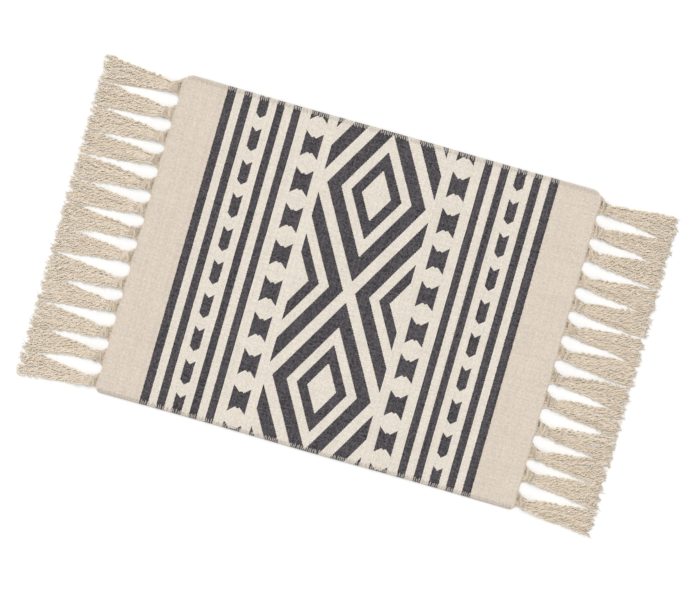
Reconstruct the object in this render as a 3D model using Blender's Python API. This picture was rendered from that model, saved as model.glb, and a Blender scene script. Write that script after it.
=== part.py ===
"""A flat woven placemat with a knotted fringe along both short ends.

Metres, +Z up. The origin is under the middle of the mat, on the surface that it lies on. +X runs along
the mat's long side and +Y across it, towards the upper long edge.
"""

import math
import random

import bmesh
import bpy
from mathutils import Matrix, Vector

NAME = "placemat"
MM = 0.001

# Driving dimensions of the cloth
CLOTH_LENGTH = 436 * MM  # between the knots of the two short ends
CLOTH_WIDTH = 330 * MM
CLOTH_MIDDLE_Y = 1.7 * MM  # the last tassels fan out past the lower edge, so the cloth lies above the middle
CLOTH_THICKNESS = 1.8 * MM
EDGE_ROUNDING = 0.4 * MM
SCALLOP_DEPTH = 1.2 * MM  # how far a short end draws in between two knots
EDGE_WANDER = 0.5 * MM  # how far a long edge wanders inwards
UPPER_CORNER = 11.5 * MM  # the radius of the corners at the upper long edge
LOWER_CORNER = 6.5 * MM

# The hem that is turned up along each long edge
HEM_WIDTH = 5 * MM
HEM_RISE = 0.5 * MM
HEM_INSET = 0.6 * MM  # from the cloth's very edge

# Driving dimensions of the fringe
TASSELS_PER_END = 13
FIRST_KNOT_Y = 148.7 * MM  # from the cloth's middle to the knot next to the upper long edge
LAST_KNOT_Y = -156.5 * MM
MAT_HALF_LENGTH = 301.5 * MM  # out to the longest strand's tip
CLEARANCE = 0.3 * MM  # between a knot and the cloth's edge

# Each end's knots stray from even spacing, in mm towards the lower long edge
KNOT_SHIFT_MM = {
    "left": (0.2, 1.2, 0.8, -1.1, -0.6, -1.0, -1.5, -2.0, 0.1, -1.1, 0.3, -0.4, 0),
    "right": (0, -0.9, -2.1, -0.7, -1.2, -1.6, -1.5, -1.6, -2.2, 0.3, 0.3, -1.8, 0),
}
TIP_FOLLOWS_KNOT = 0.5  # the share of a knot's shift that its strands' tips take

# A knot's foot lies a little nearer to the upper long edge than the knot does
FOOT_SHIFT_MM = {"left": 1.2, "right": 2.4}

# A knot's rings: the distance out from the cloth, the half width across the mat and the height, in mm,
# and the share of the foot's shift
KNOT_TABLE_MM = (
    (0.0, 9.0, 2.2, 1.0),
    (2.2, 7.4, 3.2, 1.0),
    (4.6, 5.8, 4.1, 0.7),
    (8.2, 6.3, 4.8, 0.1),
    (12.8, 5.3, 2.8, 0.0),
)
KNOT_SIDES = 8

# A tassel's strands, in one flat fan
STRANDS = 11
FAN_ROOT_WIDTH = 9 * MM  # across the middles of the outer strands, inside the knot
FAN_TIP_WIDTH = 22 * MM
FAN_OPENING = 0.62  # under 1, the fan opens fast beside the knot and slowly towards the tips
ROOT_DEPTH = 4.5 * MM  # how far the strands' roots reach back into the knot
RAGGED_TIPS = 7 * MM
STRAND_FILL = 0.76  # a strand's width, as a share of the room that it has
TIP_FILL = 0.42  # the same at its tip
STRAND_WAVE = 0.45 * MM  # sideways, at the tips
WAVE_TURNS = (1.2, 1.9)  # the fewest and the most along a strand

# A strand's sections: how far along it is, its underside's height and its own height, in mm
STRAND_TABLE_MM = (
    (0.00, 1.2, 1.4),
    (0.18, 0.0, 2.6),
    (0.39, 0.0, 2.4),
    (0.60, 0.0, 2.2),
    (0.81, 0.0, 1.9),
    (1.00, 0.0, 1.2),
)

SEED = 26
COTTON = (0.72, 0.63, 0.54, 1.0)
YARN = (0.64, 0.54, 0.42, 1.0)
MERGE = 0.001 * MM  # points nearer than this are one point
CREASE = math.radians(40)  # a sharper edge stays sharp on a round piece


def clear_scene():
    for obj in list(bpy.data.objects):
        bpy.data.objects.remove(obj, do_unlink=True)


def new_collection(name):
    collection = bpy.data.collections.new(name)
    bpy.context.scene.collection.children.link(collection)
    return collection


def fabric_material(name, colour, roughness):
    material = bpy.data.materials.new(name)
    material.use_nodes = True
    shader = material.node_tree.nodes["Principled BSDF"]
    shader.inputs["Base Color"].default_value = colour
    shader.inputs["Roughness"].default_value = roughness
    shader.inputs["Metallic"].default_value = 0.0
    return material


def add_object(name, data, collection):
    obj = bpy.data.objects.new(name, data)
    collection.objects.link(obj)
    return obj


def add_from_bmesh(name, bm, collection):
    mesh = bpy.data.meshes.new(name)
    bm.to_mesh(mesh)
    bm.free()
    return add_object(name, mesh, collection)


def curve_to_mesh(name, curve_object, collection):
    """A mesh object in the place of a curve, with its caps welded on."""
    depsgraph = bpy.context.evaluated_depsgraph_get()
    mesh = bpy.data.meshes.new_from_object(curve_object.evaluated_get(depsgraph))
    bm = bmesh.new()
    bm.from_mesh(mesh)
    bmesh.ops.remove_doubles(bm, verts=bm.verts, dist=MERGE)
    bmesh.ops.recalc_face_normals(bm, faces=bm.faces)
    bm.to_mesh(mesh)
    bm.free()
    obj = add_object(name, mesh, collection)
    obj.matrix_world = curve_object.matrix_world
    bpy.data.objects.remove(curve_object, do_unlink=True)
    return obj


def flat_outline(name, points, bottom, top, rounding, collection):
    """A plate of a closed outline, from one height to another, with rounded edges."""
    curve = bpy.data.curves.new(name + "_outline", "CURVE")
    curve.dimensions = "2D"
    curve.fill_mode = "BOTH"
    curve.extrude = (top - bottom) / 2 - rounding
    curve.bevel_depth = rounding
    curve.bevel_resolution = 0
    curve.offset = -rounding
    spline = curve.splines.new("POLY")
    spline.points.add(len(points) - 1)
    for point, (x, y) in zip(spline.points, points):
        point.co = (x, y, 0, 1)
    spline.use_cyclic_u = True
    outline = add_object(curve.name, curve, collection)
    outline.location.z = (top + bottom) / 2
    bpy.context.view_layer.update()
    return curve_to_mesh(name, outline, collection)


def unite(obj, other):
    """Joins another object into this one. The other stays behind as a hidden guide."""
    modifier = obj.modifiers.new("join_" + other.name, "BOOLEAN")
    modifier.operation = "UNION"
    modifier.solver = "EXACT"
    modifier.use_self = True
    modifier.object = other
    other.hide_render = True
    other.display_type = "WIRE"


# The fringe's layout, from the cloth's middle, shared by its scalloped ends and the tassels


def even_y(number):
    """Where a tassel would lie if all were evenly spaced. Number 0 is next to the upper long edge."""
    return FIRST_KNOT_Y + (LAST_KNOT_Y - FIRST_KNOT_Y) * number / (TASSELS_PER_END - 1)


def knot_y(side, number):
    """Where a tassel's knot lies across the mat."""
    return even_y(number) - KNOT_SHIFT_MM[side][number] * MM


def tip_y(side, number):
    """Where the middle of a tassel's tips lies across the mat."""
    return even_y(number) - TIP_FOLLOWS_KNOT * KNOT_SHIFT_MM[side][number] * MM


# The cloth


def long_edge(x):
    """Half the cloth's width at x. The edge wanders a little, and is widest in the middle."""
    waves = 2
    turn = waves * 2 * math.pi * x / CLOTH_LENGTH
    return CLOTH_WIDTH / 2 - EDGE_WANDER * (1 - math.cos(turn)) / 2


def end_outline(side, steps=5):
    """A short end's points, from the upper corner's arc to the lower one's, as (distance out, y)."""
    half = CLOTH_LENGTH / 2
    knots = [knot_y(side, number) for number in range(TASSELS_PER_END)]
    points = [(half, CLOTH_WIDTH / 2 - UPPER_CORNER)]
    for upper, lower in zip(knots, knots[1:]):
        for step in range(steps):
            share = step / steps
            drawn_in = SCALLOP_DEPTH * math.sin(math.pi * share)
            points.append((half - drawn_in, upper + (lower - upper) * share))
    points.append((half, knots[-1]))
    points.append((half, LOWER_CORNER - CLOTH_WIDTH / 2))
    return points


def corner_points(radius, steps=4):
    """A rounded corner where x and y are positive, from next to the short end to the long edge."""
    middle_x = CLOTH_LENGTH / 2 - radius
    middle_y = long_edge(middle_x) - radius
    points = []
    for step in range(1, steps + 1):
        turn = math.pi / 2 * step / steps
        points.append((middle_x + radius * math.cos(turn), middle_y + radius * math.sin(turn)))
    return points


def edge_points(radius, steps=16):
    """A long edge's points, from where its left corner ends to where the right one starts, with y positive."""
    x_limit = CLOTH_LENGTH / 2 - radius
    xs = [x_limit * (2 * step / steps - 1) for step in range(steps + 1)]
    return [(x, long_edge(x)) for x in xs]


def cloth_outline():
    """The whole cloth, clockwise from the upper left corner."""
    upper_corner, lower_corner = corner_points(UPPER_CORNER), corner_points(LOWER_CORNER)
    outline = [(-x, y) for x, y in upper_corner]
    outline += edge_points(UPPER_CORNER)[1:-1]
    outline += [(x, y) for x, y in reversed(upper_corner)]
    outline += end_outline("right")
    outline += [(x, -y) for x, y in lower_corner]
    outline += [(x, -y) for x, y in reversed(edge_points(LOWER_CORNER)[1:-1])]
    outline += [(-x, -y) for x, y in reversed(lower_corner)]
    outline += [(-x, y) for x, y in reversed(end_outline("left"))]
    return outline


def hem_outline(side, radius):
    """The turned hem along one long edge. Side is 1 for the upper edge and -1 for the lower."""
    outer = [(x, side * (y - HEM_INSET)) for x, y in edge_points(radius)]
    inner = [(x, y - side * HEM_WIDTH) for x, y in outer]
    return outer + inner[::-1]


def make_cloth(parts, guides):
    cloth = flat_outline("cloth", cloth_outline(), 0, CLOTH_THICKNESS, EDGE_ROUNDING, parts)
    bottom, top = CLOTH_THICKNESS / 2, CLOTH_THICKNESS + HEM_RISE
    for name, side, radius in (("hem_upper", 1, UPPER_CORNER), ("hem_lower", -1, LOWER_CORNER)):
        hem = flat_outline(name, hem_outline(side, radius), bottom, top, HEM_RISE / 2, guides)
        unite(cloth, hem)
        hem.location.y = CLOTH_MIDDLE_Y
    cloth.location.y = CLOTH_MIDDLE_Y
    return cloth


# The tassels


def make_knot(name, foot_shift, collection):
    """The knot that holds a tassel's yarns: a turned body, flattened ring by ring to lie on the surface."""
    bm = bmesh.new()
    profile = [(out * MM, half_width * MM) for out, half_width, _, _ in KNOT_TABLE_MM]
    profile = [(profile[0][0], 0)] + profile + [(profile[-1][0], 0)]
    vertices = [bm.verts.new((x, 0, radius)) for x, radius in profile]
    for first, second in zip(vertices, vertices[1:]):
        bm.edges.new((first, second))
    bmesh.ops.spin(
        bm,
        geom=bm.verts[:] + bm.edges[:],
        axis=(1, 0, 0),
        cent=(0, 0, 0),
        steps=KNOT_SIDES,
        angle=2 * math.pi,
    )
    bmesh.ops.remove_doubles(bm, verts=bm.verts, dist=MERGE)
    for out, half_width, height, share in KNOT_TABLE_MM:
        for vertex in bm.verts:
            if abs(vertex.co.x - out * MM) < MERGE:
                vertex.co.z = height * MM / 2 * (1 + vertex.co.z / (half_width * MM))
                vertex.co.y += foot_shift * share
    bmesh.ops.recalc_face_normals(bm, faces=bm.faces)
    knot = add_from_bmesh(name, bm, collection)
    knot.data.shade_smooth()
    knot.data.set_sharp_from_angle(angle=CREASE)
    return knot


def strand_sections(index, reach, rng):
    """One strand's triangular sections, as (x, left y, right y, underside z, top z)."""
    place = index / (STRANDS - 1) - 0.5
    start = KNOT_TABLE_MM[-1][0] * MM - ROOT_DEPTH
    phase = rng.uniform(0, 2 * math.pi)
    turns = rng.uniform(*WAVE_TURNS)
    for share, underside, height in STRAND_TABLE_MM:
        room = (FAN_ROOT_WIDTH + (FAN_TIP_WIDTH - FAN_ROOT_WIDTH) * share**FAN_OPENING) / (STRANDS - 1)
        wave = STRAND_WAVE * share * math.sin(phase + 2 * math.pi * turns * share)
        middle = place * room * (STRANDS - 1) + wave
        half = (TIP_FILL if share == 1 else STRAND_FILL) * room / 2
        x = start + (reach - start) * share
        yield x, middle - half, middle + half, underside * MM, (underside + height) * MM


def add_strand(bm, sections):
    """Lofts one strand through its sections, flat side down."""
    rings = []
    for x, right, left, bottom, top in sections:
        corners = ((x, right, bottom), (x, left, bottom), (x, (left + right) / 2, top))
        rings.append([bm.verts.new(corner) for corner in corners])
    for ring, following in zip(rings, rings[1:]):
        for side in range(3):
            beside = (side + 1) % 3
            bm.faces.new((ring[side], ring[beside], following[beside], following[side]))
    bm.faces.new(rings[0][::-1])
    bm.faces.new(rings[-1])


def make_strands(name, reach, lean, rng, collection):
    """A tassel's strands, in the knot's own frame: +X away from the cloth."""
    bm = bmesh.new()
    shortfall = [rng.uniform(0, RAGGED_TIPS) for _ in range(STRANDS)]
    shortfall[rng.randrange(STRANDS)] = 0
    for index in range(STRANDS):
        add_strand(bm, strand_sections(index, reach - shortfall[index], rng))
    for vertex in bm.verts:
        vertex.co.y += lean * vertex.co.x / reach
    bmesh.ops.recalc_face_normals(bm, faces=bm.faces)
    return add_from_bmesh(name, bm, collection)


def make_tassel(side, number, material, parts, guides):
    """One knotted bundle. Its number is counted from the upper long edge."""
    rng = random.Random(SEED + 100 * number + (0 if side == "left" else 1))
    name = f"tassel_{side}_{number + 1:02d}"
    foot = CLOTH_LENGTH / 2 + CLEARANCE
    outward = 1 if side == "right" else -1
    lean = outward * (tip_y(side, number) - knot_y(side, number))
    tassel = make_knot(name, outward * FOOT_SHIFT_MM[side] * MM, parts)
    strands = make_strands(name + "_strands", MAT_HALF_LENGTH - foot, lean, rng, guides)
    turn = Matrix.Rotation(0 if side == "right" else math.pi, 4, "Z")
    place = Matrix.Translation(Vector((outward * foot, CLOTH_MIDDLE_Y + knot_y(side, number), 0))) @ turn
    for obj in (tassel, strands):
        obj.matrix_world = place
    unite(tassel, strands)
    tassel.data.materials.append(material)


def main():
    clear_scene()
    parts = new_collection(NAME)
    guides = new_collection(NAME + "_guides")
    cloth = make_cloth(parts, guides)
    cloth.data.materials.append(fabric_material("cloth", COTTON, 0.95))
    yarn = fabric_material("yarn", YARN, 0.95)
    for side in KNOT_SHIFT_MM:
        for number in range(TASSELS_PER_END):
            make_tassel(side, number, yarn, parts, guides)


main()
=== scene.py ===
"""A woven cotton placemat: printed cloth, overlocked long edges, and a fringe of knotted yarns.

Metres, +Z up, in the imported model's own frame. +X runs along the mat's long side and +Y across it. The
mat lies on the floor, and every yarn and stitch is a mesh of its own.
"""

import math
from collections import namedtuple

import bmesh
import bpy
import numpy as np
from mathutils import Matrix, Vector


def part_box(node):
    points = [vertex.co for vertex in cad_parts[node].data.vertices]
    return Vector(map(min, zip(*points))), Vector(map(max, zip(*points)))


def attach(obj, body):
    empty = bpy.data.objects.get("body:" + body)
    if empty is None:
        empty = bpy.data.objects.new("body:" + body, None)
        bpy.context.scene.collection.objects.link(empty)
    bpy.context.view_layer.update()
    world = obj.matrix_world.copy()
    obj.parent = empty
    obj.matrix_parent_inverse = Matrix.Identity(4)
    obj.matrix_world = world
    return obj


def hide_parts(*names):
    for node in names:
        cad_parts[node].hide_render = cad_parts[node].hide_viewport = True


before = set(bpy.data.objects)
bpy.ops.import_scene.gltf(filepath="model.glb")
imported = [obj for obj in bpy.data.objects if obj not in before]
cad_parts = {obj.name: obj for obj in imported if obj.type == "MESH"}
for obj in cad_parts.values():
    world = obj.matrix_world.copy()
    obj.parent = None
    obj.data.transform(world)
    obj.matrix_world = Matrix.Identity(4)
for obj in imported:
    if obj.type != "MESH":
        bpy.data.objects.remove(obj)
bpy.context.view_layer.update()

MM = 0.001

# The cloth, as the solids have it
CLOTH_LOW, CLOTH_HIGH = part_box("cloth")
HALF_LENGTH = CLOTH_HIGH.x  # to the knots of a short end
HALF_WIDTH = (CLOTH_HIGH.y - CLOTH_LOW.y) / 2
MIDDLE_Y = (CLOTH_HIGH.y + CLOTH_LOW.y) / 2  # pieces are made around the cloth's middle, then moved here
SCALLOP_DEPTH = 1.2 * MM
EDGE_WANDER = 0.5 * MM
UPPER_CORNER = 11.5 * MM  # the radius of the corners at the upper long edge
LOWER_CORNER = 6.5 * MM

# The knots, as the solids have them. They stray from even spacing, in mm towards the lower long edge.
TASSELS_PER_END = 13
FIRST_KNOT_Y = 148.7 * MM  # next to the upper long edge
LAST_KNOT_Y = -156.5 * MM
KNOT_PITCH = (FIRST_KNOT_Y - LAST_KNOT_Y) / (TASSELS_PER_END - 1)
KNOT_SHIFT_MM = {
    "left": (0.2, 1.2, 0.8, -1.1, -0.6, -1.0, -1.5, -2.0, 0.1, -1.1, 0.3, -0.4, 0),
    "right": (0, -0.9, -2.1, -0.7, -1.2, -1.6, -1.5, -1.6, -2.2, 0.3, 0.3, -1.8, 0),
}
FOOT_SHIFT_MM = {"left": 1.2, "right": 2.4}  # a knot's foot lies nearer to the upper long edge
CLEARANCE = 0.3 * MM  # between a knot's foot and the cloth

# The cloth's own thin sheet
SHEET_THICKNESS = 1.5 * MM
HEM_WIDTH = 4.6 * MM
HEM_RISE = 0.3 * MM
HEM_STEP = 1.3 * MM  # over which the hem falls to the cloth, to either side of its width
RIM_WIDTH = 0.9 * MM  # over which the sheet thins towards its edge
RIM_THICKNESS = 0.6 * MM
SHEET_STEP = 5.5 * MM  # between the mesh's columns in the middle
SHEET_ROW_STEP = 1.7 * MM
END_STEPS_MM = (0, 0.35, 0.9, 1.8, 3, 4.5, 6.2, 8, 10, 12.4, 15, 18, 21)  # columns next to a short end
CORNER_STEPS = 11  # rows over a corner's arc
SWELL = 0.35 * MM  # how far the cloth lifts in wide, soft swells
PUCKER = 0.28 * MM  # how far it gathers next to the knots
PUCKER_REACH = 9 * MM
PUCKERS_PER_KNOT = 3

# The weave
WARP_PITCH_MM = 1.02  # the warp runs along X, so this is across the mat
WEFT_PITCH_MM = 1.24
THREAD_STRAY_MM = 1.6  # how far a thread strays from a straight line
THREAD_CROWN = 0.16 * MM

# The print, in mm. Out is the distance from the middle line across the mat.
PRINT_TOP_MM = 164.4  # the y from which the motifs are counted downwards
PRINT_HALF_MM = 171.8
STRIPES_MM = ((163.0, 171.8), (146.0, 154.5), (112.3, 120.3), (95.6, 103.6))  # from, to
BEAD_MIDDLE_MM = 133.4
BEAD_HALF_WIDTH_MM = 5.0
BEAD_PITCH_MM = 34.6
BEAD_START_MM = 31.5
BEAD_LENGTH_MM = 25.2
BEAD_POINT_MM = 4.2  # the depth of a bead's point, and of the notch at its other end
SPOOL_MIDDLE_MM = 75.95
SPOOL_HALF_WIDTH_MM = 9.05
SPOOL_PITCH_MM = 37.8
SPOOL_START_MM = 33.8
SPOOL_EAR_MM = 13.5  # half a spool's height at its sides
SPOOL_VALLEY_MM = (2.3, 7.6)  # the deepest place of its notched end: aside from its middle, and half height
SPOOL_NUB_MM = 9.0  # half its height in its middle
PANEL_HALF_MM = 57.3
LOZENGE_MIDDLE_MM = 65.0  # the first lozenge's middle
LOZENGE_HALF_MM = 100.0
LOZENGE_BANDS = ((0.262, 0.455), (0.637, 0.893))  # from, to, as shares of the way out from a middle
DYE_STRAY_MM = 0.9  # how uneven the dye's edges are
HEM_DARKENING_MM = 8.6  # how far in from a long edge the dark cloth is drawn a little darker
HEM_DARKENING_FADE_MM = 1.5  # over which it gets so

# The overlock stitches along the long edges, each a loop that reaches in from the edge
STITCH_PITCH = 2.0 * MM
THREAD_RADIUS = 0.22 * MM
# The shortest and longest loops of the upper and the lower edge. Every other one is a short one.
STITCH_DEPTH = {1: (4.1 * MM, 5.1 * MM), -1: (4.1 * MM, 5.0 * MM)}
SHORT_LOOP = 0.8
STITCH_STRAY = 0.14  # along the edge, as a share of the pitch
STITCH_SLANT = (-0.25, 0.35)  # how far along a loop's inner end lies, from and to, in pitches
STITCH_TONE_AND_SHADE = {1: 0.5, -1: 0.05}  # the thread of the lower edge is painted a little darker: painted shade, as that edge faces away from the light
STITCHED_ARC = 0.55  # the share of a corner's arc that the stitches cover
ARC_POINTS = 12
EDGE_POINTS = 260
# A stitch's points, as shares of the pitch along and of the depth inwards, and heights in thread radii
STITCH_SHAPE = (
    (0.0, -0.04, 0.2), (0.05, 0.16, 0.6), (0.09, 0.55, 0.6), (0.14, 0.9, 0.5), (0.21, 1.0, 0.1),
    (0.28, 0.9, 0.5), (0.33, 0.55, 0.6), (0.38, 0.16, 0.6), (0.44, -0.04, 0.2), (0.72, -0.07, -0.3),
)

# The fringe
YARN_RADIUS = 0.52 * MM
YARN_SIDES = 4
FULL_TURN = 6.3  # in radians: a yarn's waves start anywhere up to here
# The loose yarns of a tassel. Straighter ones lie on the floor, and the curly ones over them. Crimps are
# from and to, in mm, and heights count the yarns beneath, from and to.
Layer = namedtuple("Layer", "yarns points thickness crimp_length crimp_size heights tone")
FAN_LAYERS = (
    Layer(18, 20, 1.15, (13, 19), (0.15, 0.5), (0.0, 0.1), 0.33),
    Layer(32, 96, 1.07, (5.0, 8.5), (0.5, 1.1), (0.4, 2.1), 0.58),
)
YARN_RISE = 0.8 * MM  # what one yarn lifts the next one over it
CRIMP_OPENS = (9 * MM, 19 * MM)  # from and to, out from the knot's foot
FAN_SETTLES = (9 * MM, 30 * MM)  # where the yarns come down to the floor
WANDER = 0.24  # how far a yarn strays over its neighbours, as a share of half the fan
RAGGED_TIPS = 6.5 * MM
TIP_MARGIN = 2.5 * MM  # the room that the longest yarns leave for their frayed plies
PLIES = 2  # twisted into a yarn, and frayed apart at a loose one's tip
PLY_POINTS = 4
PLY_LENGTH_MM = (2, 5)
PLY_STRAY = 0.6  # how far aside a frayed ply may end, as a share of its length
TIP_HOLLOW = 3 * MM  # how far whole locks of a fan fall short of its longest yarns
LEGS = 17
LEG_POINTS = 11
LEG_SPREAD = 9 * MM  # half the foot's width at the cloth
CORNER_LEG_SPREAD = 13 * MM  # the same towards an upper corner
LEG_LIMITS = (4.2 * MM, 3.5 * MM)  # how near to the lower and the upper long edge a leg may start
KNOT_MIDDLE = 6.5 * MM  # out from the knot's foot
KNOT_HALF_HEIGHT = 2.4 * MM
KNOT_MARGIN = 1.0 * MM  # between the yarns inside the knot and its top or bottom
# The knot's two bands of wrapped yarns, each with a share of the knot's height and of its foot's shift
Band = namedtuple("Band", "out_mm half_mm lean height yarns shift")
KNOT_BANDS = (Band(7.8, 6.3, 0.34, 1.0, 5, 0.1), Band(3.9, 5.7, -0.36, 0.86, 4, 0.8))
BAND_STEP = 0.95 * MM
KNOT_YARN_RADIUS = 0.53 * MM
KNOT_YARN_POINTS = 22
FAN_ROOT = KNOT_MIDDLE - 1 * MM  # where the loose yarns begin, inside the knot
FAN_START = 10.8 * MM  # where they leave it
FAN_MARGIN = 0.3 * MM  # between the yarns' places and the fan's sides, for their crimp
# The fan's width over all, at distances out from the knot's foot, in mm
FAN_MM = (
    (0, 10.4), (9, 10.8), (12, 10.9), (15, 13.2), (19, 15.4), (24, 17), (29, 18), (34, 19.1),
    (44, 20.8), (54, 22.2), (64, 23.4), (74, 24.5), (84, 25.2),
)
PARTINGS = 2  # places in a fan where its yarns part into locks towards the tips
PARTING_WIDTH = (0.8 * MM, 2.6 * MM)
PARTING_REACH = 0.3  # how far to its sides a parting pushes, as a share of half the fan
PARTING_START = 0.66  # where it begins, as a share of the fan's reach
END_TONE = {"left": 0.0, "right": -0.15}  # the fringe of one end is a little darker
STRAY_LOCK = ("left", 0)  # the tassel whose longest lock stands off
STRAY_PARTING = (-0.66, 6.5 * MM)  # its place and its width
STRAY_HOLLOWS = (3, 1)  # the wave of its locks' lengths
# How far a tassel's yarns reach and lean aside, and the locks that they part into
Fan = namedtuple("Fan", "reach lean partings hollows")

# Colours as they are seen, from 0 to 255
PLAIN_COTTON = (226, 213, 198)
PRINTED_COTTON = (235, 226, 213)  # the pale cloth between the motifs
DARK_DYE = (82, 78, 82)
YARN_COLOURS = ((248, 236, 219), (225, 210, 189))  # light and deep
THREAD_COLOURS = ((228, 219, 209), (211, 202, 192))
FLOOR_COLOUR = (250, 250, 249)

# The length of one turn of the twist, and how far the plies stand out
YARN_TWIST_MM = 2.6
THREAD_TWIST_MM = 0.9
YARN_CROWN = 0.14 * MM

# The camera looks straight down on the mat, which lies turned in its view
CAMERA_HEIGHT = 1.6528
CAMERA_OFFSET = (0.0051, -0.0150)  # from the cloth's middle
CAMERA_TURN = math.radians(15.9)
LENS = 85
SENSOR = 36

# The studio
FLOOR_SIZE = 30
FLOOR_GAP = 0.1 * MM  # between the floor and the lowest yarns
HORIZON_LIGHT = 1.02
OVERHEAD_LIGHT = 0.8
KEY_PLACE = (-1.0, 1.3, 1.9)
KEY_SPREAD = math.radians(38)
KEY_STRENGTH = 1.1

SEED = 26


# Materials, written as arithmetic on fields


def math_node(operation, *values):
    """A Math node on fields and plain numbers."""
    tree = next(value.socket.id_data for value in values if isinstance(value, Field))
    node = tree.nodes.new("ShaderNodeMath")
    node.operation = operation
    for socket, value in zip(node.inputs, values):
        connect(tree, value, socket)
    return Field(node.outputs[0])


def connect(tree, value, socket):
    if isinstance(value, Field):
        tree.links.new(value.socket, socket)
    else:
        socket.default_value = value


class Field:
    """A number that varies over a surface. Arithmetic on fields makes the Math nodes for it."""

    def __init__(self, socket):
        self.socket = socket

    def __add__(self, other):
        return math_node("ADD", self, other)

    def __radd__(self, other):
        return math_node("ADD", other, self)

    def __sub__(self, other):
        return math_node("SUBTRACT", self, other)

    def __rsub__(self, other):
        return math_node("SUBTRACT", other, self)

    def __mul__(self, other):
        return math_node("MULTIPLY", self, other)

    def __rmul__(self, other):
        return math_node("MULTIPLY", other, self)

    def __truediv__(self, other):
        return math_node("DIVIDE", self, other)

    def __pow__(self, other):
        return math_node("POWER", self, other)

    def __mod__(self, other):
        return math_node("FLOORED_MODULO", self, other)

    def __abs__(self):
        return math_node("ABSOLUTE", self)

    def __gt__(self, other):
        return math_node("GREATER_THAN", self, other)

    def __lt__(self, other):
        return math_node("LESS_THAN", self, other)

    def floor(self):
        return math_node("FLOOR", self)

    def sine(self):
        return math_node("SINE", self)


def limited(value):
    """A field kept from 0 to 1."""
    return math_node("MINIMUM", math_node("MAXIMUM", value, 0.0), 1.0)


def between(value, low, high):
    return (value > low) * (value < high)


def either(first, *others):
    for other in others:
        first = math_node("MAXIMUM", first, other)
    return first


def blend(first, second, share):
    return first + (second - first) * share


def vector_of(x, y, z=0.0):
    field = next(value for value in (x, y, z) if isinstance(value, Field))
    tree = field.socket.id_data
    node = tree.nodes.new("ShaderNodeCombineXYZ")
    for socket, value in zip(node.inputs, (x, y, z)):
        connect(tree, value, socket)
    return Field(node.outputs[0])


def split_vector(tree, socket):
    node = tree.nodes.new("ShaderNodeSeparateXYZ")
    tree.links.new(socket, node.inputs[0])
    return [Field(output) for output in node.outputs]


def noise(vector, scale, detail=1.0):
    """Smooth noise around 0, mostly from -0.5 to 0.5."""
    tree = vector.socket.id_data
    node = tree.nodes.new("ShaderNodeTexNoise")
    tree.links.new(vector.socket, node.inputs["Vector"])
    node.inputs["Scale"].default_value = scale
    node.inputs["Detail"].default_value = detail
    return Field(node.outputs["Fac"]) - 0.5


def chance(*numbers):
    """A random number from 0 to 1 for each whole number, or pair of them."""
    tree = numbers[0].socket.id_data
    vector = vector_of(*numbers) if len(numbers) > 1 else vector_of(numbers[0], 0.0)
    node = tree.nodes.new("ShaderNodeTexWhiteNoise")
    node.noise_dimensions = "2D"
    tree.links.new(vector.socket, node.inputs["Vector"])
    return Field(node.outputs["Value"])


def colour(red, green, blue):
    """A colour as it is seen, from 0 to 255, turned into the linear one that a shader takes."""
    linear = []
    for value in (red, green, blue):
        share = value / 255
        linear.append(share / 12.92 if share <= 0.04045 else ((share + 0.055) / 1.055) ** 2.4)
    return (*linear, 1.0)


def mix_colours(share, first, second):
    tree = share.socket.id_data
    node = tree.nodes.new("ShaderNodeMix")
    node.data_type = "RGBA"
    # the node also has sockets for other kinds of value: these are for a share and two colours
    connect(tree, share, node.inputs[0])
    connect(tree, first, node.inputs[6])
    connect(tree, second, node.inputs[7])
    return Field(node.outputs[2])


def shade_colour(base, brightness):
    """A colour made brighter or darker by a field around 1."""
    tree = brightness.socket.id_data
    node = tree.nodes.new("ShaderNodeVectorMath")
    node.operation = "SCALE"
    connect(tree, base if isinstance(base, Field) else base[:3], node.inputs[0])
    connect(tree, brightness, node.inputs["Scale"])
    return Field(node.outputs[0])


def new_material(name):
    material = bpy.data.materials.new(name)
    material.use_nodes = True
    tree = material.node_tree
    return material, tree, tree.nodes["Principled BSDF"]


def fabric_finish(tree, shader, base, height, crown, sheen):
    """Wires a fabric's colour and its raised threads, and sets what is the same all over."""
    tree.links.new(base.socket, shader.inputs["Base Color"])
    bump = tree.nodes.new("ShaderNodeBump")
    bump.inputs["Strength"].default_value = 1.0
    bump.inputs["Distance"].default_value = crown
    tree.links.new(height.socket, bump.inputs["Height"])
    tree.links.new(bump.outputs["Normal"], shader.inputs["Normal"])
    shader.inputs["Roughness"].default_value = 0.92
    shader.inputs["Specular IOR Level"].default_value = 0.15
    shader.inputs["Sheen Weight"].default_value = sheen
    shader.inputs["Sheen Roughness"].default_value = 0.6


def print_mask(x, y):
    """1 where the cloth is dyed dark. x and y are in mm."""
    out = abs(x)
    down = PRINT_TOP_MM - y
    dyed = [between(out, inner, outer) for inner, outer in STRIPES_MM]
    dyed += [bead_mask(out, down), spool_mask(out, down), lozenge_mask(out, down)]
    return either(*dyed)


def bead_mask(out, down):
    """A column of beads, each notched at the top and pointed at the bottom."""
    aside = abs(out - BEAD_MIDDLE_MM) / BEAD_HALF_WIDTH_MM
    along = (down - BEAD_START_MM) % BEAD_PITCH_MM
    notch = BEAD_POINT_MM * (1 - aside)
    point = BEAD_LENGTH_MM - BEAD_POINT_MM * aside
    return (aside < 1) * between(along, notch, point)


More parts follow.
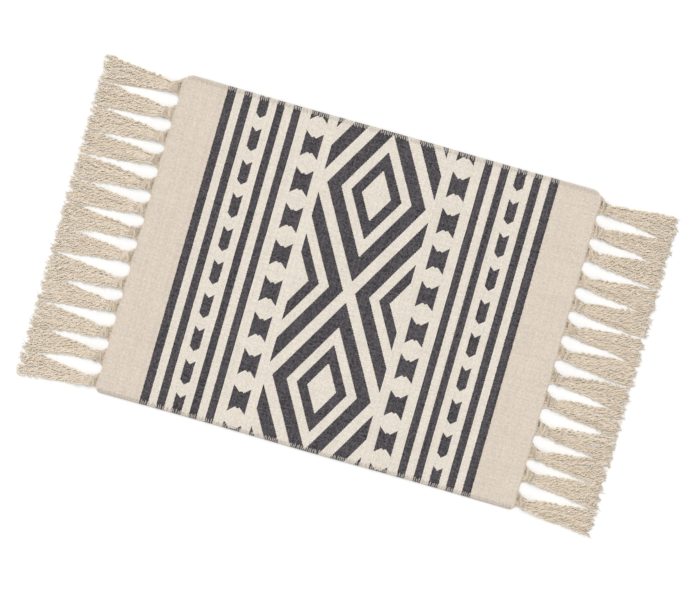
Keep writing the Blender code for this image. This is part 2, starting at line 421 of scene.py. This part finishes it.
def spool_mask(out, down):
    """A column of spools: straight sides, and ends notched between two ears, with a nub in the middle."""
    aside = abs(out - SPOOL_MIDDLE_MM)
    half_pitch = SPOOL_PITCH_MM / 2
    along = abs((down - SPOOL_START_MM + half_pitch) % SPOOL_PITCH_MM - half_pitch)
    valley, valley_height = SPOOL_VALLEY_MM
    ear_slope = (SPOOL_EAR_MM - valley_height) / (SPOOL_HALF_WIDTH_MM - valley)
    nub_slope = (SPOOL_NUB_MM - valley_height) / valley
    past = aside - valley
    end = valley_height + either(past * ear_slope, past * -nub_slope)
    return (aside < SPOOL_HALF_WIDTH_MM) * (along < end)


def lozenge_mask(out, down):
    """Nested lozenges that meet corner to corner, cut off straight at the panel's sides."""
    across = out / PANEL_HALF_MM
    turn = (down - LOZENGE_MIDDLE_MM + LOZENGE_HALF_MM) % (2 * LOZENGE_HALF_MM)
    along = abs(turn - LOZENGE_HALF_MM) / LOZENGE_HALF_MM
    total = across + along
    away = math_node("MINIMUM", total, 2 - total)
    bands = [between(away, inner, outer) for inner, outer in LOZENGE_BANDS]
    return (across < 1) * either(*bands)


def raised_thread(across, along, number):
    """A thread's height where it sways over and under those that cross it, from 0 in the gaps to 1."""
    body = abs((across * math.pi).sine()) ** 0.7
    sway = ((along + number) * math.pi).sine()
    return body * (0.6 + 0.4 * sway)


def cloth_material():
    """A plain weave with the print dyed into it."""
    material, tree, shader = new_material("printed_cotton")
    coordinates = tree.nodes.new("ShaderNodeTexCoord")
    place = coordinates.outputs["Object"]
    x, y, _ = [axis / MM for axis in split_vector(tree, place)]
    spot = vector_of(x, y)

    # the threads stray a little from straight, even lines
    weft = (x + noise(spot, 0.021, 2.0) * THREAD_STRAY_MM) / WEFT_PITCH_MM
    warp = (y + noise(vector_of(y, x), 0.017, 2.0) * THREAD_STRAY_MM) / WARP_PITCH_MM
    weft_number, warp_number = weft.floor(), warp.floor()
    weft_height = raised_thread(weft, warp, weft_number)
    warp_height = raised_thread(warp, weft, warp_number + 1)
    crown = either(weft_height, warp_height)
    warp_on_top = warp_height > weft_height

    # each thread has its own tone, and thick and thin places along it
    weft_tone = chance(weft_number) - 0.5 + noise(vector_of(weft_number * 7.3, warp * 0.11), 1.0) * 1.1
    warp_tone = chance(warp_number + 0.5) - 0.5 + noise(vector_of(weft * 0.11, warp_number * 5.1), 1.0) * 1.1
    tone = blend(weft_tone, warp_tone, warp_on_top)
    fleck = chance(weft_number, warp_number) - 0.5

    # the dye follows the threads, so its edges are a little stepped and soft
    stray = noise(spot, 0.9, 2.0) * DYE_STRAY_MM
    dye_x = blend(x, (weft_number + 0.5) * WEFT_PITCH_MM, 0.5) + stray
    dye_y = blend(y, (warp_number + 0.5) * WARP_PITCH_MM, 0.5) + stray
    dyed = print_mask(dye_x, dye_y) * (1 - 0.3 * (crown < 0.2))
    printed = abs(dye_x) < PRINT_HALF_MM

    # threads, flecks, wide patches and fine grain show more in the dark dye than in pale cotton. The
    # threads' crowns are painted lighter and the gaps between them darker: painted shade of the weave
    plain = mix_colours(printed, colour(*PLAIN_COTTON), colour(*PRINTED_COTTON))
    patch = noise(spot, 0.035, 2.0)
    # the dark cloth is drawn a little darker towards the long edges
    near_hem = limited((abs(y) - HALF_WIDTH / MM + HEM_DARKENING_MM) / HEM_DARKENING_FADE_MM)
    grain = noise(spot, 0.42, 2.0)
    light_shade = 0.797 + crown * 0.15 + tone * 0.1 + fleck * 0.09 + patch * 0.1 + grain * 0.34
    dark_shade = 0.63 + crown * 0.36 + tone * 0.5 + fleck * 0.6 + patch * 0.3 + grain * 1.7 - near_hem * 0.09
    light = shade_colour(plain, light_shade)
    dark = shade_colour(colour(*DARK_DYE), dark_shade)
    base = mix_colours(dyed, light, dark)
    height = crown + tone * 0.18 + noise(spot, 3.1, 2.0) * 0.22
    fabric_finish(tree, shader, base, height, THREAD_CROWN, 0.05)
    return material


def yarn_material(name, colours, twist_mm):
    """Twisted cotton yarn. Its UV maps run along and around it, and hold a tone for each yarn: below 0, the
    tone is painted shade.
    """
    material, tree, shader = new_material(name)
    light, deep = [colour(*seen) for seen in colours]
    length_map = tree.nodes.new("ShaderNodeUVMap")
    length_map.uv_map = "length"
    tone_map = tree.nodes.new("ShaderNodeUVMap")
    tone_map.uv_map = "tone"
    along, around, _ = split_vector(tree, length_map.outputs[0])
    tone, number, _ = split_vector(tree, tone_map.outputs[0])
    millimetres = along / MM
    ply = abs(((millimetres / twist_mm + around * PLIES) * math.pi).sine()) ** 0.6
    spot = vector_of(millimetres, around * 3.0, number * 97.0)
    mottle = noise(spot, 0.55, 2.0)
    fibres = noise(vector_of(millimetres * 0.6, around * 14.0, number * 31.0), 1.0, 2.0)
    base = mix_colours(limited(tone + mottle * 1.1), deep, light)
    # a tone below 0 is the shade that gathers between yarns
    shadow = limited(tone * -1.0)
    # the grooves between the plies are painted darker: painted shade. Tones below 0 add the painted shade
    # between yarns
    base = shade_colour(base, (0.86 + ply * 0.14 + fibres * 0.14) * (1 - shadow * 0.6))
    height = ply + fibres * 0.5
    fabric_finish(tree, shader, base, height, YARN_CROWN, 0.1)
    return material


def floor_material():
    material, tree, shader = new_material("pale_floor")
    coordinates = tree.nodes.new("ShaderNodeTexCoord")
    x, y, _ = split_vector(tree, coordinates.outputs["Object"])
    cloudy = noise(vector_of(x, y), 3.0, 2.0)
    base = shade_colour(colour(*FLOOR_COLOUR), 1 + cloudy * 0.01)
    tree.links.new(base.socket, shader.inputs["Base Color"])
    shader.inputs["Roughness"].default_value = 0.9
    shader.inputs["Specular IOR Level"].default_value = 0.1
    return material


# The layout that the cloth and the fringe share


def even_y(number):
    """Where a tassel would lie across the mat if all were evenly spaced."""
    return FIRST_KNOT_Y - KNOT_PITCH * number


def knot_y(side, number):
    return even_y(number) - KNOT_SHIFT_MM[side][number] * MM


def long_edge(x):
    """Half the cloth's width at x."""
    turns = x / HALF_LENGTH
    return HALF_WIDTH - EDGE_WANDER * (1 - np.cos(2 * math.pi * turns)) / 2


def corner_radius(y):
    return np.where(y > 0, UPPER_CORNER, LOWER_CORNER)


def end_x(side, y):
    """Half the cloth's length at y: scallops between the knots, then a corner's arc."""
    knots = np.array([knot_y(side, number) for number in range(TASSELS_PER_END)])
    share = np.interp(y, knots[::-1], np.arange(TASSELS_PER_END)[::-1]) % 1
    scallop = HALF_LENGTH - SCALLOP_DEPTH * np.sin(math.pi * share)
    radius = corner_radius(y)
    past = np.clip(np.abs(y) - HALF_WIDTH + radius, 0, radius)
    corner = HALF_LENGTH - radius + np.sqrt(radius**2 - past**2)
    return np.where(past > 0, corner, scallop)


def soft_step(value, low, high):
    share = np.clip((value - low) / (high - low), 0, 1)
    return share * share * (3 - 2 * share)


# The cloth


def sheet_lines():
    """The mesh's columns and rows, as shares of half the length and places across the mat."""
    inner = HALF_LENGTH - END_STEPS_MM[-1] * MM
    inner_columns = round(2 * inner / SHEET_STEP) + 1
    end = [HALF_LENGTH - step * MM for step in END_STEPS_MM[:-1]]
    columns = [-x for x in end] + list(np.linspace(-inner, inner, inner_columns)) + end[::-1]
    turns = np.linspace(0, math.pi / 2, CORNER_STEPS + 1)[1:]
    upper, lower = HALF_WIDTH - UPPER_CORNER, HALF_WIDTH - LOWER_CORNER
    inner_rows = round((upper + lower) / SHEET_ROW_STEP) + 1
    rows = np.concatenate([
        -(lower + LOWER_CORNER * np.sin(turns))[::-1],
        np.linspace(-lower, upper, inner_rows),
        upper + UPPER_CORNER * np.sin(turns),
    ])
    return np.array(columns) / HALF_LENGTH, rows


def hem_distance(x, y):
    """How far a point is from the nearer long edge or a corner's arc."""
    radius = corner_radius(y)
    from_long = long_edge(x) - np.abs(y)
    past_x, past_y = np.abs(x) - HALF_LENGTH + radius, radius - from_long
    in_corner = (past_x > 0) & (past_y > 0)
    return np.where(in_corner, radius - np.hypot(past_x, past_y), from_long)


def swell(x, y):
    """Wide, soft unevenness of the cloth where it lies, from 0 to SWELL."""
    waves = (
        np.sin(x * 41 + 1.1) * np.sin(y * 53 + 0.4)
        + 0.6 * np.sin(x * 23 - y * 31 + 2.0)
        + 0.5 * np.sin(x * 67 + y * 45 + 0.7)
    )
    most = 1 + 0.6 + 0.5
    return SWELL * (waves + most) / (2 * most)


def pucker(x, y):
    """Small gathers next to each short end, where the knots pull the warp together."""
    from_end = HALF_LENGTH - np.abs(x)
    ripple = np.cos(2 * math.pi * PUCKERS_PER_KNOT * y / KNOT_PITCH + np.sin(y * 90))
    return PUCKER * (0.5 + 0.5 * ripple) * np.exp(-from_end / PUCKER_REACH)


def cloth_height(x, y):
    """The thickness of the sheet and the height of its underside."""
    hem = 1 - soft_step(hem_distance(x, y), HEM_WIDTH - HEM_STEP, HEM_WIDTH + HEM_STEP)
    side_end = np.where(x > 0, end_x("right", y), end_x("left", y))
    from_edge = np.minimum(side_end - np.abs(x), hem_distance(x, y))
    rim = np.sqrt(np.clip(from_edge / RIM_WIDTH, 0, 1))
    thickness = RIM_THICKNESS + (SHEET_THICKNESS - RIM_THICKNESS + HEM_RISE * hem) * rim
    lift = (SHEET_THICKNESS - thickness) * (1 - rim) / 2
    return thickness, lift + swell(x, y) + pucker(x, y)


def make_cloth():
    """A grid laid on the cloth's outline, given its thickness by a Solidify modifier."""
    columns, rows = sheet_lines()
    share, y = np.meshgrid(columns, rows)
    x = share * np.where(share > 0, end_x("right", y), end_x("left", y))
    y = y * long_edge(x) / HALF_WIDTH
    thickness, lift = cloth_height(x, y)
    z = lift + thickness / 2
    widest = thickness.max()

    bm = bmesh.new()
    bmesh.ops.create_grid(bm, x_segments=len(columns) - 1, y_segments=len(rows) - 1, size=1)
    mesh = bpy.data.meshes.new("woven_cloth")
    bm.to_mesh(mesh)
    bm.free()
    mesh.vertices.foreach_set("co", np.stack([x, y, z], axis=-1).ravel())
    cloth = bpy.data.objects.new("woven_cloth", mesh)
    bpy.context.scene.collection.objects.link(cloth)
    group = cloth.vertex_groups.new(name="thickness")
    for index, weight in enumerate((thickness / widest).ravel()):
        group.add([index], float(weight), "REPLACE")
    solidify = cloth.modifiers.new("thickness", "SOLIDIFY")
    solidify.thickness = widest
    solidify.offset = 0
    solidify.vertex_group = "thickness"
    mesh.shade_smooth()
    cloth.location.y = MIDDLE_Y
    return cloth


# Yarns and threads


class Yarns:
    """Gathers many yarns into one mesh of tubes, with UV maps along and around each."""

    def __init__(self, sides=YARN_SIDES):
        self.sides = sides
        self.points, self.faces, self.lengths, self.tones = [], [], [], []
        self.count = 0

    def add(self, path, radius, beside, tone, number, closed=False):
        """One yarn along a path. Beside is a direction that the path never runs in."""
        path = np.asarray(path)
        if closed:
            steps = np.roll(path, -1, axis=0) - np.roll(path, 1, axis=0)
        else:
            steps = np.gradient(path, axis=0)
        ahead = steps / np.linalg.norm(steps, axis=1, keepdims=True)
        across = np.cross(np.broadcast_to(beside, path.shape), ahead)
        across /= np.linalg.norm(across, axis=1, keepdims=True)
        over = np.cross(ahead, across)
        turns = 2 * math.pi * np.arange(self.sides) / self.sides
        radius = np.broadcast_to(radius, len(path))[:, None, None]
        ring = np.cos(turns)[None, :, None] * across[:, None] + np.sin(turns)[None, :, None] * over[:, None]
        self.points.append((path[:, None] + radius * ring).reshape(-1, 3))
        self.add_faces(path, closed, np.broadcast_to(tone, len(path)), number)
        self.count += len(path) * self.sides

    def add_faces(self, path, closed, tone, number):
        """Faces and UV maps of one yarn. Its tone varies along it, and its number is its own."""
        sides, rings = self.sides, len(path)
        spans = rings if closed else rings - 1
        ring, side = np.meshgrid(np.arange(spans), np.arange(sides), indexing="ij")
        following, beside = (ring + 1) % rings, (side + 1) % sides
        corners = [ring * sides + side, ring * sides + beside]
        corners += [following * sides + beside, following * sides + side]
        faces = np.stack(corners, axis=-1).reshape(-1, 4)
        travelled = np.concatenate([[0], np.cumsum(np.linalg.norm(np.diff(path, axis=0), axis=1))])
        travelled = np.append(travelled, travelled[-1] + travelled[1])
        here, there = travelled[ring], travelled[ring + 1]
        left, right = side / sides, (side + 1) / sides
        along = np.stack([here, here, there, there], axis=-1).reshape(-1, 4)
        around = np.stack([left, right, right, left], axis=-1).reshape(-1, 4)
        near, far = tone[ring], tone[following]
        tones = np.stack([near, near, far, far], axis=-1).reshape(-1, 4)
        if not closed:
            caps = np.array([np.arange(sides)[::-1], (rings - 1) * sides + np.arange(sides)])
            faces = np.concatenate([faces, caps])
            along = np.concatenate([along, np.repeat([[0.0], [travelled[rings - 1]]], sides, axis=1)])
            around = np.concatenate([around, np.zeros((2, sides))])
            tones = np.concatenate([tones, np.repeat([[tone[0]], [tone[-1]]], sides, axis=1)])
        self.faces.append(faces + self.count)
        self.lengths.append(np.stack([along, around], axis=-1).reshape(-1, 2))
        self.tones.append(np.stack([tones, np.full(tones.shape, number)], axis=-1).reshape(-1, 2))

    def make(self, name, material):
        mesh = bpy.data.meshes.new(name)
        points, faces = np.concatenate(self.points), np.concatenate(self.faces)
        mesh.from_pydata(points.tolist(), [], faces.tolist())
        for title, values in (("length", self.lengths), ("tone", self.tones)):
            layer = mesh.uv_layers.new(name=title)
            layer.data.foreach_set("uv", np.concatenate(values).ravel())
        mesh.materials.append(material)
        mesh.shade_smooth()
        piece = bpy.data.objects.new(name, mesh)
        piece.location.y = MIDDLE_Y
        bpy.context.scene.collection.objects.link(piece)
        return piece


def hem_path(radius):
    """Points along a long edge, with y positive: out of one corner's arc, along, and into the other's."""
    arc = np.linspace(math.pi / 2 * (1 - STITCHED_ARC), math.pi / 2, ARC_POINTS)
    corner_x, corner_y = HALF_LENGTH - radius, HALF_WIDTH - radius
    right_x, right_y = corner_x + radius * np.cos(arc), corner_y + radius * np.sin(arc)
    straight = np.linspace(-corner_x, corner_x, EDGE_POINTS)[1:-1]
    x = np.concatenate([-right_x, straight, right_x[::-1]])
    y = np.concatenate([right_y, long_edge(straight), right_y[::-1]])
    return np.stack([x, y], axis=-1)


def along_path(path, distances):
    """Points of a flat path at distances along it, and the directions that run inwards from it there."""
    steps = np.linalg.norm(np.diff(path, axis=0), axis=1)
    travelled = np.concatenate([[0], np.cumsum(steps)])
    place = np.stack([np.interp(distances, travelled, path[:, axis]) for axis in (0, 1)], axis=-1)
    ahead = np.gradient(path, axis=0)
    ahead /= np.linalg.norm(ahead, axis=1, keepdims=True)
    turned = np.stack([np.interp(distances, travelled, ahead[:, axis]) for axis in (0, 1)], axis=-1)
    inwards = np.stack([turned[:, 1], -turned[:, 0]], axis=-1)
    return place, inwards


def thread_on_hem(distances, depths, rises, edge, side):
    """A thread's path over the hem: distances along the edge, depths in from it, and heights above it."""
    place, inwards = along_path(edge, distances)
    flat = place + inwards * depths[:, None]
    thickness, lift = cloth_height(flat[:, 0], flat[:, 1] * side)
    wrapped = depths <= 0
    top = np.where(wrapped, SHEET_THICKNESS / 2, thickness + lift)
    return np.stack([flat[:, 0], flat[:, 1] * side, top + rises], axis=-1)


def make_overlock(side, name, material):
    """Overlock stitches along one long edge: a thread that loops in over the hem and runs round the edge."""
    rng = np.random.default_rng(SEED + 500 + side)
    edge = hem_path(UPPER_CORNER if side > 0 else LOWER_CORNER)
    length = np.linalg.norm(np.diff(edge, axis=0), axis=1).sum()
    count = int(length / STITCH_PITCH) - 1
    along, inwards, height = np.array(STITCH_SHAPE).T
    starts = (np.arange(count) + 0.5 + rng.uniform(-STITCH_STRAY, STITCH_STRAY, count)) * STITCH_PITCH
    depth = rng.uniform(*STITCH_DEPTH[side], count)
    depth[::2] *= SHORT_LOOP
    slant = rng.uniform(*STITCH_SLANT, count)
    distances = starts[:, None] + (along + slant[:, None] * np.maximum(inwards, 0)) * STITCH_PITCH
    depths = depth[:, None] * inwards
    rises = np.tile(height * THREAD_RADIUS, count)
    path = thread_on_hem(distances.ravel(), depths.ravel(), rises, edge, side)
    # a tone below 0 is painted shade, and the thread of the lower edge has much of it
    tone = STITCH_TONE_AND_SHADE[side] + 0.3 * np.sin(np.arange(len(path)) * 0.37) * rng.uniform(0.4, 1, len(path))
    threads = Yarns()
    threads.add(path, THREAD_RADIUS, (0, 0, 1), tone, rng.random())
    return threads.make(name, material)


# The tassels


def fan_width(out):
    """The fan's width over all, at a distance out from the knot's foot."""
    outs, widths = np.array(FAN_MM).T * MM
    return np.interp(out, outs, widths)


def fan_locks(rng, side, number):
    """Where a fan parts into locks: places across it, from -1 to 1, and widths at the tips.

    With them come the turns and the start of the wave that its locks' lengths follow.
    """
    found = [(rng.uniform(-0.8, 0.8), rng.uniform(*PARTING_WIDTH)) for _ in range(PARTINGS)]
    hollows = rng.uniform(4, 9), rng.uniform(0, FULL_TURN)
    if (side, number) == STRAY_LOCK:
        return [STRAY_PARTING], STRAY_HOLLOWS
    return found, hollows


def fan_yarn(rng, kind, tip_place, fan):
    """The path of one loose yarn, from inside the knot to its ragged tip."""
    turns, first = fan.hollows
    hollow = TIP_HOLLOW * (0.5 + 0.5 * math.sin(turns * tip_place + first))
    end = fan.reach - TIP_MARGIN - hollow - RAGGED_TIPS * rng.random() ** 1.6
    out = np.linspace(FAN_ROOT, end, kind.points)
    share = (out - FAN_ROOT) / (fan.reach - FAN_ROOT)
    open_share = soft_step(out, KNOT_MIDDLE, fan.reach * 0.75)

    # across the fan: yarns cross on their way out, and part into locks towards their tips
    root_place = np.clip(0.55 * tip_place + rng.uniform(-0.7, 0.7), -0.95, 0.95)
    place = root_place + (tip_place - root_place) * open_share
    wander = WANDER * (1 - 0.65 * tip_place**2)
    place += wander * open_share * np.sin(share * rng.uniform(5, 14) + rng.uniform(0, FULL_TURN))
    half_room = fan_width(out) / 2 - YARN_RADIUS - FAN_MARGIN
    y = place * half_room + fan.lean * out / fan.reach
    for parting, width in fan.partings:
        push = np.sign(tip_place - parting) * width / 2 * np.exp(-abs(tip_place - parting) / PARTING_REACH)
        y += push * soft_step(out, PARTING_START * fan.reach, fan.reach)

    # the crimp, longer in some places along the yarn than in others
    waves = out / (rng.uniform(*kind.crimp_length) * MM) * 2 * math.pi + rng.uniform(0, FULL_TURN)
    waves += 1.1 * np.sin(out / rng.uniform(13, 21) / MM * 2 * math.pi + rng.uniform(0, FULL_TURN))
    size = rng.uniform(*kind.crimp_size) * MM * soft_step(out, *CRIMP_OPENS)
    y += size * (np.sin(waves) + 0.3 * np.sin(1.7 * waves + rng.uniform(0, FULL_TURN)))
    x = out + 0.35 * size * np.sin(2 * waves + rng.uniform(0, FULL_TURN))

    # the height: from a place in the knot down to a layer of its own
    bundled = KNOT_HALF_HEIGHT + rng.uniform(-1, 1) * (KNOT_HALF_HEIGHT - KNOT_MARGIN)
    loose = YARN_RADIUS + rng.uniform(*kind.heights) * YARN_RISE * (1 - 0.35 * share)
    z = blend(bundled, loose, soft_step(out, *FAN_SETTLES))
    z += 0.7 * size * np.cos(waves + rng.uniform(-0.6, 0.6))
    return np.stack([x, y, z], axis=-1)


def shade_spread(out, middle, width):
    """1 at a distance out, falling to 0 around it: how a painted shade spreads."""
    return np.exp(-(((out - middle) / width) ** 2))


def add_fan(yarns, rng, fan):
    """All the loose yarns of a tassel."""
    for kind in FAN_LAYERS:
        for number in range(kind.yarns):
            tip_place = ((number + rng.uniform(0.1, 0.9)) / kind.yarns * 2 - 1) * 1.02
            path = fan_yarn(rng, kind, tip_place, fan)
            add_loose_yarn(yarns, rng, kind, path)


def add_loose_yarn(yarns, rng, kind, path):
    """A loose yarn with slubs and a painted shade where it leaves the knot, that ends in two frayed plies.
    """
    tone, own = np.clip(rng.normal(kind.tone, 0.16), 0, 1), rng.random()
    thick = YARN_RADIUS * kind.thickness * rng.uniform(0.86, 1.14)
    slubs = 1 + 0.1 * np.sin(np.arange(kind.points) * rng.uniform(0.2, 0.5) + rng.uniform(0, FULL_TURN))
    radius = thick * slubs
    radius[-3:] *= (0.95, 0.8, 0.55)
    path[:, 2] = np.maximum(path[:, 2], radius)
    # painted shade where the yarn leaves the knot
    painted_shade = rng.uniform(0.3, 1.1) * shade_spread(path[:, 0], FAN_START + rng.uniform(0, 1.6) * MM, 1.1 * MM)
    yarns.add(path, radius, (0, 0, 1), tone - painted_shade, own)
    for _ in range(PLIES):
        add_ply(yarns, rng, path, thick, tone, own)


def add_ply(yarns, rng, path, thick, tone, own):
    """A thin ply that frays out of a yarn's tip."""
    steps = np.linspace(0, 1, PLY_POINTS)
    ahead = path[-1] - path[-4]
    ahead /= np.linalg.norm(ahead)
    length = rng.uniform(*PLY_LENGTH_MM) * MM
    first, last = np.clip([ahead[1], ahead[1] + rng.normal(0, 0.45)], -PLY_STRAY, PLY_STRAY)
    radius = thick * 0.55 * (1 - 0.7 * steps)
    x = path[-3][0] + ahead[0] * length * steps
    y = path[-3][1] + blend(first, last, steps) * steps * length
    z = np.maximum(path[-3][2] * (1 - 0.5 * steps), radius)
    yarns.add(np.stack([x, y, z], axis=-1), radius, (0, 0, 1), tone, own)


def add_legs(yarns, rng, side, number):
    """The warp ends that leave the cloth's end and draw together into the knot."""
    outward = 1 if side == "right" else -1
    middle = knot_y(side, number)
    shift = FOOT_SHIFT_MM[side] * MM
    lowest, highest = LEG_LIMITS[0] - HALF_WIDTH, HALF_WIDTH - LEG_LIMITS[1]
    depth_of_shade = rng.uniform(0.4, 1.3)
    for step in np.linspace(-1, 1, LEGS):
        spread = CORNER_LEG_SPREAD if number == 0 and step > 0 else LEG_SPREAD
        aside = step * spread + rng.uniform(-0.3, 0.3) * MM
        y_world = float(np.clip(middle + shift + aside, lowest, highest))
        aside = y_world - middle - shift
        foot = float(end_x(side, np.array(y_world))) - HALF_LENGTH - CLEARANCE
        path = leg_path(rng, foot, outward * aside, outward * shift)
        # painted shade: darkest close to the cloth, and on the side of the upper long edge
        tone = np.clip(rng.normal(0.3, 0.2), 0, 1)
        upper = soft_step(aside, -1.5 * MM, 1.5 * MM) * (1 - soft_step(aside, 5 * MM, 8 * MM))
        painted_shade = (0.2 + depth_of_shade * upper) * shade_spread(path[:, 0], 0.5 * MM, 0.8 * MM)
        yarns.add(path, YARN_RADIUS, (0, 0, 1), tone - painted_shade, rng.random())


def leg_path(rng, foot, aside, shift):
    """A curve from inside the cloth's end, past two places that it bends towards, into the knot."""
    begin = np.array([foot - 1.2 * MM, aside + shift, 0.9 * MM])
    bend = np.array([foot + 1.9 * MM, aside * 1.02 + shift, rng.uniform(1.0, 1.6) * MM])
    near = np.array([2.3 * MM, aside * 0.52 + shift * 0.8, rng.uniform(1.2, 3.0) * MM])
    finish = np.array([KNOT_MIDDLE, aside * 0.53, rng.uniform(1.6, 3.2) * MM])
    share = np.linspace(0, 1, LEG_POINTS)[:, None]
    return (
        (1 - share) ** 3 * begin
        + 3 * (1 - share) ** 2 * share * bend
        + 3 * (1 - share) * share**2 * near
        + share**3 * finish
    )


def add_knot(yarns, rng, foot_shift):
    """Two bands of wrapped yarns that cross: one leaning outwards, and one behind it leaning back."""
    angle = np.linspace(0, 2 * math.pi, KNOT_YARN_POINTS + 1)[:-1]
    for band in KNOT_BANDS:
        for turn in range(band.yarns):
            from_middle = turn - (band.yarns - 1) / 2
            middle = band.out_mm * MM + from_middle * BAND_STEP
            size = (1 - 0.03 * from_middle**2) * rng.uniform(0.95, 1)
            half_height = KNOT_HALF_HEIGHT * band.height * size - KNOT_YARN_RADIUS
            y = (band.half_mm * MM * size - KNOT_YARN_RADIUS) * np.cos(angle)
            z = KNOT_HALF_HEIGHT + half_height * np.sin(angle)
            wobble = 0.12 * MM * np.sin(3 * angle + rng.uniform(0, FULL_TURN))
            x = middle + band.lean * y * np.sin(angle) + wobble
            path = np.stack([x, y + foot_shift * band.shift, z], axis=-1)
            # tones below 0 are painted shade in the knot's crevices; the others differ at random
            tone = rng.uniform(-0.45, 0.5)
            yarns.add(path, KNOT_YARN_RADIUS, (1, 0, 0), tone, rng.random(), closed=True)


def make_tassel(side, number, material):
    """One knotted bundle of the fringe, in the place of its solid."""
    node = f"tassel_{side}_{number + 1:02d}"
    low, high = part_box(node)
    outward = 1 if side == "right" else -1
    foot = HALF_LENGTH + CLEARANCE
    reach = max(abs(low.x), abs(high.x)) - foot
    lean = outward * (even_y(number) - knot_y(side, number)) / 2
    rng = np.random.default_rng(SEED + 100 * number + (0 if side == "left" else 1))
    yarns = Yarns()
    add_legs(yarns, rng, side, number)
    add_knot(yarns, rng, outward * FOOT_SHIFT_MM[side] * MM)
    add_fan(yarns, rng, Fan(reach, lean, *fan_locks(rng, side, number)))
    for tones in yarns.tones:
        tones[:, 0] += END_TONE[side]
    for points in yarns.points:
        points[:, 0] = outward * (foot + points[:, 0])
        points[:, 1] = knot_y(side, number) + outward * points[:, 1]
    piece = yarns.make(node + "_yarns", material)
    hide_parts(node)
    return piece


# The studio


def make_floor():
    bpy.ops.mesh.primitive_plane_add(size=FLOOR_SIZE, location=(0, 0, -FLOOR_GAP))
    floor = bpy.context.object
    floor.name = "floor"
    floor.data.materials.append(floor_material())


def make_sun(name, place, spread, strength):
    """A soft light from one direction, as even over the whole mat as a large lamp far off."""
    data = bpy.data.lights.new(name, "SUN")
    data.angle = spread
    data.energy = strength
    light = bpy.data.objects.new(name, data)
    light.location = place
    light.rotation_euler = (-Vector(place)).to_track_quat("-Z", "Y").to_euler()
    bpy.context.scene.collection.objects.link(light)


def make_room():
    """White light from all round, a little brighter at the horizon than overhead."""
    world = bpy.data.worlds.new("studio")
    world.use_nodes = True
    tree = world.node_tree
    background = tree.nodes["Background"]
    background.inputs["Color"].default_value = (1, 1, 1, 1)
    coordinates = tree.nodes.new("ShaderNodeTexCoord")
    _, _, height = split_vector(tree, coordinates.outputs["Generated"])
    strength = blend(HORIZON_LIGHT, OVERHEAD_LIGHT, limited((height - 0.1) / 0.4))
    tree.links.new(strength.socket, background.inputs["Strength"])
    bpy.context.scene.world = world


def make_studio():
    bpy.context.scene.view_settings.view_transform = "Standard"
    make_room()
    make_sun("key", KEY_PLACE, KEY_SPREAD, KEY_STRENGTH)


def make_camera():
    data = bpy.data.cameras.new("camera")
    data.lens = LENS
    data.sensor_width = SENSOR
    camera = bpy.data.objects.new("camera", data)
    camera.location = (CAMERA_OFFSET[0], MIDDLE_Y + CAMERA_OFFSET[1], CAMERA_HEIGHT)
    camera.rotation_euler = (0, 0, CAMERA_TURN)
    bpy.context.scene.collection.objects.link(camera)
    bpy.context.scene.camera = camera


def main():
    make_camera()
    make_studio()
    make_floor()

    cloth = make_cloth()
    cloth.data.materials.append(cloth_material())
    bpy.context.view_layer.update()
    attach(cloth, "root")
    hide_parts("cloth")

    yarn = yarn_material("cotton_yarn", YARN_COLOURS, YARN_TWIST_MM)
    thread = yarn_material("sewing_thread", THREAD_COLOURS, THREAD_TWIST_MM)
    sewn = [make_overlock(1, "overlock_upper", thread), make_overlock(-1, "overlock_lower", thread)]
    for side in KNOT_SHIFT_MM:
        for number in range(TASSELS_PER_END):
            sewn.append(make_tassel(side, number, yarn))
    bpy.context.view_layer.update()
    for piece in sewn:
        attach(piece, "root")


main()
